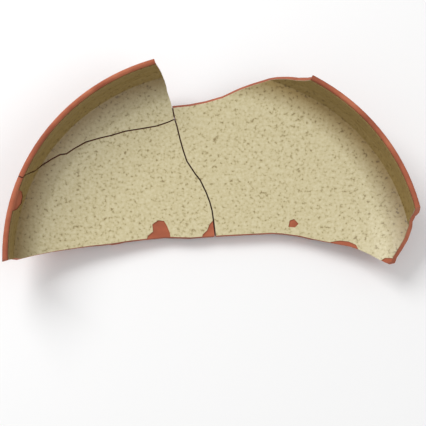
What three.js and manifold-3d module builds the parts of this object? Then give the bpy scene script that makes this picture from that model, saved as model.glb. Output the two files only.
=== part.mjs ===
// Half of a mended earthenware dish: three sherds, the slip and glaze on each, and the
// adhesive that holds them. Millimetres, +Z up, the foot rests on z = 0.
import * as THREE from 'three';
import { mergeVertices } from 'three/addons/utils/BufferGeometryUtils.js';
import Module from 'manifold-3d';

const wasm = await Module();
wasm.setup();

// Wheel-thrown section. Heights are taken from the foot's resting face.
const lipHeight = 55;
const lipRadius = 134.2;
const lipThickness = 3.2;
const bellyRadius = 136;
const bellyHeight = 38.5;
const kneeRadius = 133.2;
const kneeHeight = 26;
const wallThickness = 3.8;
const floorThickness = 5.7;
const footRadius = 70;
const footBand = 4;
const footSlope = 5;
const footRecess = 3;
const footHeight = 5.5;
const footRounding = 0.8;
const hipRadius = 110;
const hipHeight = 14.7;
const flatRadius = 38;
const bowlRadius = 91.6;
const bowlRise = 1.6;

// White slip under a clear lead glaze, on the inside only. The lip's top is worn bare.
const coatThickness = 0.5;
const coatSeat = 0.1;
const bareLip = 1.5;

// The mended joins.
const joinWidth = 1;
const filmThickness = 0.3;
const filmRecess = 0.6;
const filmEnd = 1;

// Breaks go through the wall along lines from one point on the axis.
const sightHeight = 150;
const cutTop = 75;
const cutBottom = -20;
const rimOverrun = 12;

// Fineness of the turned and curved surfaces.
const turns = 120;
const rimStep = 10;
const curveSteps = 7;
const wallSteps = 5;
const lipSteps = 6;
const roundingSteps = 3;

// Break lines on the unrolled inside: x and y in millimetres from the axis, with the
// distance from the axis measured along the clay, so that the wall carries on outwards.
const joinMeet = [-26, 100.5];
const topMeet = [-27.5, 108];
const bottomMeet = [1.5, 19.3];
const leftJoin = [
  [-149.5, 54], [-146, 56.2], [-133, 57.7], [-124, 59.2], [-119.5, 61.5], [-110, 68.5],
  [-104.5, 72], [-100, 73], [-95.5, 76.5], [-87, 82], [-77, 85.5], [-70, 87.5],
  [-60, 91], [-50, 93], [-38, 95.5], [-30, 98.5],
];
const middleJoin = [
  [-24.5, 96], [-22, 86], [-20, 79], [-17.5, 71.5], [-12, 63], [-8.5, 58.5],
  [-4.5, 50], [-2, 43], [-0.5, 37], [0.5, 29],
];
const upperLeftBreak = [
  [-29, 112.5], [-31.5, 119.5], [-32, 122.5], [-33.5, 127], [-37, 134.5], [-42, 143], [-47, 152],
];
const topBreak = [
  [-15, 109.5], [-4, 111.8], [7, 115], [19, 120.5], [28, 123.5], [37, 126], [45, 128.5],
  [54, 130], [62, 130.5], [70, 133], [77, 137],
];
const rightBreak = [
  [118.5, -3], [120, 0.5], [124, 6], [128, 12], [130.5, 18], [133, 23.5], [138, 26.5], [147, 28],
];
const bottomRightBreak = [
  [20, 20.3], [39, 21.2], [47, 20.6], [58, 18.8], [68, 16], [80, 13], [90, 10.5],
  [97, 7.5], [105, 3], [111, -1], [115, -3.5],
];
const bottomLeftBreak = [
  [-158, -11.5], [-143, -6], [-132, -1.5], [-128, -1.5], [-124, 0], [-117, 2.5], [-105, 6],
  [-92, 9], [-81, 11.2], [-70, 12.8], [-56, 15.5], [-45, 17], [-31, 18.5], [-15, 18],
];

// Places where slip and glaze have flaked off the clay, on the same unrolled inside.
const flakes = {
  lowerLeft: [
    [[-131, 36], [-131.5, 41], [-135, 44], [-145, 44.5], [-162, 43], [-163, 27], [-150, 28], [-137, 31]],
    [[-46, 12], [-44, 19], [-40.5, 22], [-41, 27], [-37, 30], [-33, 29.5], [-31, 26], [-29, 21], [-28, 12]],
    [[-9, 12], [-7, 20], [-4, 23], [-2.5, 27], [0, 30], [3, 31], [4, 12]],
  ],
  right: [
    [[51, 25], [52, 29.5], [55, 30.5], [58, 27], [55.5, 24.5]],
    [[78, 8], [79, 13.6], [85, 14.2], [91, 13.2], [96, 10.5], [99, 3]],
    [[112, -1.5], [114.5, 0], [119, -0.5], [123, -3], [117, -9]],
  ],
};

const redClay = { color: 0xa4583c, roughness: 0.9, metalness: 0 };
const creamGlaze = { color: 0xc9bd94, roughness: 0.3, metalness: 0 };
const agedAdhesive = { color: 0x4a2618, roughness: 0.6, metalness: 0 };

// Moves an open line sideways, to the left of its travel, keeping corners sharp.
function offsetLine(points, distance) {
  const normals = [];
  for (let i = 1; i < points.length; i += 1) {
    const dx = points[i][0] - points[i - 1][0];
    const dy = points[i][1] - points[i - 1][1];
    const length = Math.hypot(dx, dy);
    normals.push([-dy / length, dx / length]);
  }
  return points.map((point, i) => {
    const before = normals[Math.max(i - 1, 0)];
    const after = normals[Math.min(i, normals.length - 1)];
    const spread = 1 + before[0] * after[0] + before[1] * after[1];
    return [
      point[0] + (distance * (before[0] + after[0])) / spread,
      point[1] + (distance * (before[1] + after[1])) / spread,
    ];
  });
}

function samples(curve, steps) {
  return curve.getPoints(steps).map((point) => [point.x, point.y]);
}

function vector(point) {
  return new THREE.Vector2(point[0], point[1]);
}

function lineLength(points) {
  let total = 0;
  for (let i = 1; i < points.length; i += 1) {
    total += Math.hypot(points[i][0] - points[i - 1][0], points[i][1] - points[i - 1][1]);
  }
  return total;
}

// The point a distance along a line; past its end the last stretch carries on straight.
function walk(points, distance) {
  let left = distance;
  let i = 1;
  while (i < points.length - 1) {
    const step = Math.hypot(points[i][0] - points[i - 1][0], points[i][1] - points[i - 1][1]);
    if (left <= step) {
      break;
    }
    left -= step;
    i += 1;
  }
  const span = Math.hypot(points[i][0] - points[i - 1][0], points[i][1] - points[i - 1][1]);
  const share = left / span;
  return [
    points[i - 1][0] + (points[i][0] - points[i - 1][0]) * share,
    points[i - 1][1] + (points[i][1] - points[i - 1][1]) * share,
  ];
}

// The line from its start to a distance along it.
function shorten(points, distance) {
  const kept = [points[0]];
  let reached = 0;
  for (let i = 1; i < points.length; i += 1) {
    reached += Math.hypot(points[i][0] - points[i - 1][0], points[i][1] - points[i - 1][1]);
    if (reached >= distance) {
      break;
    }
    kept.push(points[i]);
  }
  kept.push(walk(points, distance));
  return kept;
}

// Outside of the clay, from the centre under the floor to just below the lip.
function outsideLine() {
  const footInner = footRadius - footBand;
  const floor = new THREE.QuadraticBezierCurve(
    vector([footRadius + footRounding, footHeight]),
    vector([hipRadius, hipHeight]),
    vector([kneeRadius - footRounding, kneeHeight - footRounding]),
  );
  const wall = new THREE.SplineCurve([
    vector([kneeRadius, kneeHeight]),
    vector([bellyRadius, bellyHeight]),
    vector([lipRadius, lipHeight - lipThickness / 2]),
  ]);
  return [
    [0, footRecess],
    [footInner - footSlope, footRecess],
    ...samples(
      new THREE.QuadraticBezierCurve(
        vector([footInner - footRounding, footRounding / 2]),
        vector([footInner, 0]),
        vector([footInner + footRounding, 0]),
      ),
      roundingSteps,
    ),
    [footRadius - footRounding, 0],
    [footRadius, footRounding],
    ...samples(floor, curveSteps),
    ...samples(wall, wallSteps),
  ];
}

// Inside of the clay, from the centre to just below the lip.
function insideLine() {
  const floorTop = footRecess + floorThickness;
  const turn = wallThickness * Math.SQRT1_2;
  const knee = [kneeRadius - turn, kneeHeight + turn];
  const floor = new THREE.QuadraticBezierCurve(
    vector([flatRadius, floorTop]),
    vector([bowlRadius, floorTop + bowlRise]),
    vector(knee),
  );
  const wall = new THREE.SplineCurve([
    vector(knee),
    vector([bellyRadius - wallThickness, bellyHeight]),
    vector([lipRadius - lipThickness, lipHeight - lipThickness / 2]),
  ]);
  return [[0, floorTop], ...samples(floor, curveSteps), ...samples(wall, wallSteps).slice(1)];
}

const inside = insideLine();
const insideLength = lineLength(inside);

// The clay's whole section, round from under the centre to the floor's top at the centre.
function claySection() {
  const lip = new THREE.EllipseCurve(
    lipRadius - lipThickness / 2,
    lipHeight - lipThickness / 2,
    lipThickness / 2,
    lipThickness / 2,
    0,
    Math.PI,
  );
  return [...outsideLine(), ...samples(lip, lipSteps).slice(1, -1), ...[...inside].reverse()];
}

function coatSection() {
  const covered = shorten(inside, insideLength - bareLip);
  const underside = offsetLine(covered, coatSeat);
  const face = offsetLine(covered, coatSeat + coatThickness);
  return [...underside, ...face.reverse()];
}

function toSolid(geometry) {
  const bare = geometry.clone();
  bare.deleteAttribute('normal');
  bare.deleteAttribute('uv');
  const merged = mergeVertices(bare, 1e-5);
  const corners = merged.index.array;
  const kept = [];
  for (let i = 0; i < corners.length; i += 3) {
    const [a, b, c] = corners.slice(i, i + 3);
    if (a !== b && b !== c && c !== a) {
      kept.push(a, b, c);
    }
  }
  return new wasm.Manifold(
    new wasm.Mesh({
      numProp: 3,
      vertProperties: new Float32Array(merged.attributes.position.array),
      triVerts: new Uint32Array(kept),
    }),
  );
}

function toGeometry(solid) {
  const mesh = solid.getMesh();
  const geometry = new THREE.BufferGeometry();
  geometry.setAttribute('position', new THREE.BufferAttribute(new Float32Array(mesh.vertProperties), 3));
  geometry.setIndex(new THREE.BufferAttribute(new Uint32Array(mesh.triVerts), 1));
  geometry.computeVertexNormals();
  return geometry;
}

function turned(section) {
  const geometry = new THREE.LatheGeometry(section.map(vector), turns);
  geometry.rotateX(Math.PI / 2);
  return toSolid(geometry);
}

// The place on the clay's inside of a point on the unrolled map.
function onInside(point) {
  const [radius, height] = walk(inside, Math.hypot(point[0], point[1]));
  const angle = Math.atan2(point[1], point[0]);
  return [radius * Math.cos(angle), radius * Math.sin(angle), height];
}

// A cutter whose sides run along the break lines, from above the lip to below the foot.
function cutter(outline) {
  const clockwise = THREE.ShapeUtils.isClockWise(outline.map(vector));
  const places = (clockwise ? reversed(outline) : outline).map(onInside);
  const ring = (height) => places.map(([x, y, z]) => {
    const reach = (sightHeight - height) / (sightHeight - z);
    return [x * reach, y * reach, height];
  });
  const top = ring(cutTop);
  const bottom = ring(cutBottom);
  const count = outline.length;
  const faces = THREE.ShapeUtils.triangulateShape(top.map(vector), []);
  const index = [];
  faces.forEach(([a, b, c]) => {
    index.push(a, b, c);
    index.push(count + c, count + b, count + a);
  });
  for (let i = 0; i < count; i += 1) {
    const next = (i + 1) % count;
    index.push(i, count + i, count + next);
    index.push(i, count + next, next);
  }
  const geometry = new THREE.BufferGeometry();
  geometry.setAttribute('position', new THREE.Float32BufferAttribute([...top, ...bottom].flat(), 3));
  geometry.setIndex(index);
  return toSolid(geometry);
}

function pastRim(angle) {
  const reach = insideLength + rimOverrun;
  return [reach * Math.cos(angle), reach * Math.sin(angle)];
}

function angleOf(point) {
  const angle = Math.atan2(point[1], point[0]);
  return angle < -Math.PI / 2 ? angle + 2 * Math.PI : angle;
}

// Points beyond the rim from one break's end to the next.
function rimArc(from, to) {
  const start = angleOf(from);
  const end = angleOf(to);
  const steps = Math.ceil((end - start) / THREE.MathUtils.degToRad(rimStep));
  const points = [];
  for (let i = 0; i <= steps; i += 1) {
    points.push(pastRim(start + ((end - start) * i) / steps));
  }
  return points;
}

// Draws the edges that face a join back by half its width. Stretches run anticlockwise.
function sherdOutline(stretches) {
  const points = [];
  const insets = [];
  stretches.forEach(({ line, joined }) => {
    line.forEach((point) => {
      points.push(point);
      insets.push(joined ? joinWidth / 2 : 0);
    });
  });
  const count = points.length;
  const normal = (i) => {
    const next = points[(i + 1) % count];
    const length = Math.hypot(next[0] - points[i][0], next[1] - points[i][1]);
    return [(points[i][1] - next[1]) / length, (next[0] - points[i][0]) / length];
  };
  return points.map((point, i) => {
    const last = (i + count - 1) % count;
    const a = normal(last);
    const b = normal(i);
    const turn = a[0] * b[1] - a[1] * b[0];
    if (Math.abs(turn) < 1e-6) {
      return [point[0] + b[0] * insets[i], point[1] + b[1] * insets[i]];
    }
    return [
      point[0] + (insets[last] * b[1] - insets[i] * a[1]) / turn,
      point[1] + (insets[i] * a[0] - insets[last] * b[0]) / turn,
    ];
  });
}

const reversed = (line) => [...line].reverse();
const leftEnd = leftJoin[0];
const upperLeftEnd = upperLeftBreak[upperLeftBreak.length - 1];
const topEnd = topBreak[topBreak.length - 1];
const rightEnd = rightBreak[rightBreak.length - 1];
const bottomLeftEnd = bottomLeftBreak[0];

const sherds = {
  upperLeft: sherdOutline([
    { line: [joinMeet], joined: true },
    { line: [topMeet, ...upperLeftBreak], joined: false },
    { line: rimArc(upperLeftEnd, leftEnd).slice(0, -1), joined: false },
    { line: [pastRim(angleOf(leftEnd)), ...leftJoin], joined: true },
  ]),
  lowerLeft: sherdOutline([
    { line: [joinMeet, ...reversed(leftJoin)], joined: true },
    { line: rimArc(leftEnd, bottomLeftEnd), joined: false },
    { line: bottomLeftBreak, joined: false },
    { line: [bottomMeet, ...reversed(middleJoin)], joined: true },
  ]),
  right: sherdOutline([
    { line: [topMeet, joinMeet, ...middleJoin], joined: true },
    { line: [bottomMeet, ...bottomRightBreak, ...rightBreak], joined: false },
    { line: rimArc(rightEnd, topEnd), joined: false },
    { line: reversed(topBreak), joined: false },
  ]),
};

// A thin outline along a join, drawn back from both of its ends.
function filmOutline(line) {
  const fromStart = reversed(shorten(reversed(line), lineLength(line) - filmEnd));
  const between = shorten(fromStart, lineLength(fromStart) - filmEnd);
  const oneSide = offsetLine(between, -filmThickness / 2);
  const otherSide = offsetLine(between, filmThickness / 2);
  return [...oneSide, ...reversed(otherSide)];
}

const films = {
  adhesive_left: filmOutline([pastRim(angleOf(leftEnd)), ...leftJoin, joinMeet]),
  adhesive_middle: filmOutline([joinMeet, ...middleJoin, bottomMeet]),
  adhesive_top: filmOutline([joinMeet, topMeet]),
};

const clay = turned(claySection());
const coat = turned(coatSection());
const bond = turned(offsetLine(claySection(), filmRecess));

const dish = new THREE.Group();

function addPiece(name, solid, finish) {
  const mesh = new THREE.Mesh(toGeometry(solid), new THREE.MeshStandardMaterial(finish));
  mesh.name = name;
  dish.add(mesh);
}

const labels = { upperLeft: 'upper_left', lowerLeft: 'lower_left', right: 'right' };
Object.entries(sherds).forEach(([key, outline]) => {
  const bounds = cutter(outline);
  addPiece(`sherd_${labels[key]}`, clay.intersect(bounds), redClay);
  let glaze = coat.intersect(bounds);
  (flakes[key] ?? []).forEach((flake) => {
    glaze = glaze.subtract(cutter(flake));
  });
  addPiece(`glaze_${labels[key]}`, glaze, creamGlaze);
});

Object.entries(films).forEach(([name, outline]) => {
  addPiece(name, bond.intersect(cutter(outline)), agedAdhesive);
});

// The origin is under the middle of the whole piece, on the surface that it stands on.
const box = new THREE.Box3().setFromObject(dish, true);
const middle = box.getCenter(new THREE.Vector3());
dish.position.set(-middle.x, -middle.y, -box.min.z);
dish.updateMatrixWorld(true);

export default dish;
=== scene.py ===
import bpy
from mathutils import Matrix, Vector

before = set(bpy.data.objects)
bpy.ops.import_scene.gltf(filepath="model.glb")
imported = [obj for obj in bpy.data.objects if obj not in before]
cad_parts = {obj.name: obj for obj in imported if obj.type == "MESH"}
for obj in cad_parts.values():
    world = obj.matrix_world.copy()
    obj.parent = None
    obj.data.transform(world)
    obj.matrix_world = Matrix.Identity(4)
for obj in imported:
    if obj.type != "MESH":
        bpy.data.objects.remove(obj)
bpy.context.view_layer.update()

dish = {
    "axis": (0.001222, -0.060377),  # wheel axis in the frame, metres
    "junctionRadius": 0.128,        # where floor turns into wall
}
view = {
    "place": (-0.03034, -0.27040, 0.78973),
    "right": (0.99925, -0.01159, 0.03691),
    "up": (0.0, 0.95406, 0.29963),
    "back": (-0.03869, -0.29940, 0.95334),
    "lens": 102.4,
}
light = {"key": 9.0, "fill": 3.0, "world": 0.55}


def linear(hexValue):
    channels = [int(hexValue[i:i + 2], 16) / 255 for i in (1, 3, 5)]
    bent = [c / 12.92 if c <= 0.04045 else ((c + 0.055) / 1.055) ** 2.4 for c in channels]
    return (*bent, 1.0)


def addNode(tree, kind, settings=None, values=None, links=None):
    node = tree.nodes.new(kind)
    for name, value in (settings or {}).items():
        setattr(node, name, value)
    for name, value in (values or {}).items():
        node.inputs[name].default_value = value
    for name, socket in (links or {}).items():
        tree.links.new(socket, node.inputs[name])
    return node


def startMaterial(name, roughness):
    material = bpy.data.materials.new(name)
    material.use_nodes = True
    tree = material.node_tree
    shader = tree.nodes["Principled BSDF"]
    shader.inputs["Roughness"].default_value = roughness
    place = addNode(tree, "ShaderNodeTexCoord").outputs["Object"]
    return material, tree, shader, place


def rampOf(tree, source, stops):
    ramp = addNode(tree, "ShaderNodeValToRGB", links={"Fac": source})
    elements = ramp.color_ramp.elements
    elements[0].position, elements[0].color = stops[0][0], linear(stops[0][1])
    elements[1].position, elements[1].color = stops[-1][0], linear(stops[-1][1])
    for position, colour in stops[1:-1]:
        elements.new(position).color = linear(colour)
    return ramp.outputs["Color"]


# Fired red earthenware: matt, with a fine sandy grain.
def redEarthenware():
    material, tree, shader, place = startMaterial("red_earthenware", 0.88)
    cloud = addNode(tree, "ShaderNodeTexNoise", values={"Scale": 60.0, "Detail": 6.0},
                    links={"Vector": place})
    grain = addNode(tree, "ShaderNodeTexNoise", values={"Scale": 1400.0, "Detail": 3.0},
                    links={"Vector": place})
    colour = rampOf(tree, cloud.outputs["Fac"],
                    [(0.3, "#8E4A32"), (0.5, "#A4583C"), (0.7, "#B66A4B")])
    bump = addNode(tree, "ShaderNodeBump", values={"Strength": 0.4, "Distance": 0.0003},
                   links={"Height": grain.outputs["Fac"]})
    tree.links.new(colour, shader.inputs["Base Color"])
    tree.links.new(bump.outputs["Normal"], shader.inputs["Normal"])
    return material


# Clear lead glaze over white slip: glossy cream, browner where the floor meets the wall, partly
# dirt and partly painted shade of that inside corner.
def leadGlaze():
    material, tree, shader, place = startMaterial("lead_glaze_over_slip", 0.3)
    centred = addNode(tree, "ShaderNodeVectorMath", {"operation": "SUBTRACT"},
                      links={0: place})
    centred.inputs[1].default_value = (*dish["axis"], 0.0)
    flat = addNode(tree, "ShaderNodeVectorMath", {"operation": "MULTIPLY"},
                   links={0: centred.outputs[0]})
    flat.inputs[1].default_value = (1.0, 1.0, 0.0)
    radius = addNode(tree, "ShaderNodeVectorMath", {"operation": "LENGTH"},
                     links={0: flat.outputs[0]})
    # painted shade of the floor-to-wall corner, partly dirt: darkens the glaze from 14 mm inside
    # that corner outward over the wall
    cornerShadeAndDirt = addNode(tree, "ShaderNodeMapRange",
                    values={"From Min": dish["junctionRadius"] - 0.014,
                            "From Max": dish["junctionRadius"]},
                    links={"Value": radius.outputs["Value"]})
    speckle = addNode(tree, "ShaderNodeTexNoise", values={"Scale": 500.0, "Detail": 4.0},
                      links={"Vector": place})
    cream = rampOf(tree, speckle.outputs["Fac"],
                   [(0.3, "#8F7F58"), (0.42, "#C2B68D"), (0.7, "#D0C6A2")])
    mix = addNode(tree, "ShaderNodeMixRGB", {"blend_type": "MULTIPLY"},
                  links={"Fac": cornerShadeAndDirt.outputs["Result"], "Color1": cream})
    mix.inputs["Color2"].default_value = linear("#B5A27E")
    tree.links.new(mix.outputs["Color"], shader.inputs["Base Color"])
    return material


# Adhesive film in the joins: its dark red-brown is painted shade of the open cracks over the
# clay's own red-brown.
def crackShadeAdhesive():
    material, tree, shader, place = startMaterial("adhesive_painted_crack_shade", 0.6)
    cloud = addNode(tree, "ShaderNodeTexNoise", values={"Scale": 300.0}, links={"Vector": place})
    colour = rampOf(tree, cloud.outputs["Fac"], [(0.3, "#35190F"), (0.7, "#57301F")])
    tree.links.new(colour, shader.inputs["Base Color"])
    return material


finishes = {"sherd": redEarthenware(), "glaze": leadGlaze(), "adhesive": crackShadeAdhesive()}
for name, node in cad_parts.items():
    node.data.materials.clear()
    node.data.materials.append(finishes[name.split("_")[0]])
print("finishes set on", len(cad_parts), "pieces")

floorMesh = bpy.data.meshes.new("floor")
floorMesh.from_pydata([(-4, -4, 0), (4, -4, 0), (4, 4, 0), (-4, 4, 0)], [], [(0, 1, 2, 3)])
floor = bpy.data.objects.new("floor", floorMesh)
bpy.context.scene.collection.objects.link(floor)
paper, paperTree, paperShader, paperPlace = startMaterial("pale_floor", 0.95)
paperShader.inputs["Base Color"].default_value = linear("#F2F2F2")
floorMesh.materials.append(paper)


def addLamp(name, place, power, size):
    data = bpy.data.lights.new(name, "AREA")
    data.energy = power
    data.size = size
    lamp = bpy.data.objects.new(name, data)
    lamp.location = place
    lamp.rotation_euler = (-Vector(place)).to_track_quat("-Z", "Y").to_euler()
    bpy.context.scene.collection.objects.link(lamp)


addLamp("key", (-0.6, 0.5, 0.9), light["key"], 0.6)
addLamp("fill", (0.7, -0.4, 1.0), light["fill"], 0.8)
world = bpy.data.worlds.new("studio")
world.use_nodes = True
world.node_tree.nodes["Background"].inputs["Strength"].default_value = light["world"]
world.node_tree.nodes["Background"].inputs["Color"].default_value = (1.0, 1.0, 1.0, 1.0)
bpy.context.scene.world = world

cameraData = bpy.data.cameras.new("camera")
cameraData.lens = view["lens"]
camera = bpy.data.objects.new("camera", cameraData)
turn = Matrix((view["right"], view["up"], view["back"])).transposed()
camera.matrix_world = Matrix.Translation(view["place"]) @ turn.to_4x4()
bpy.context.scene.collection.objects.link(camera)
bpy.context.scene.camera = camera
bpy.context.scene.view_settings.view_transform = "Standard"
print("camera and lamps set")
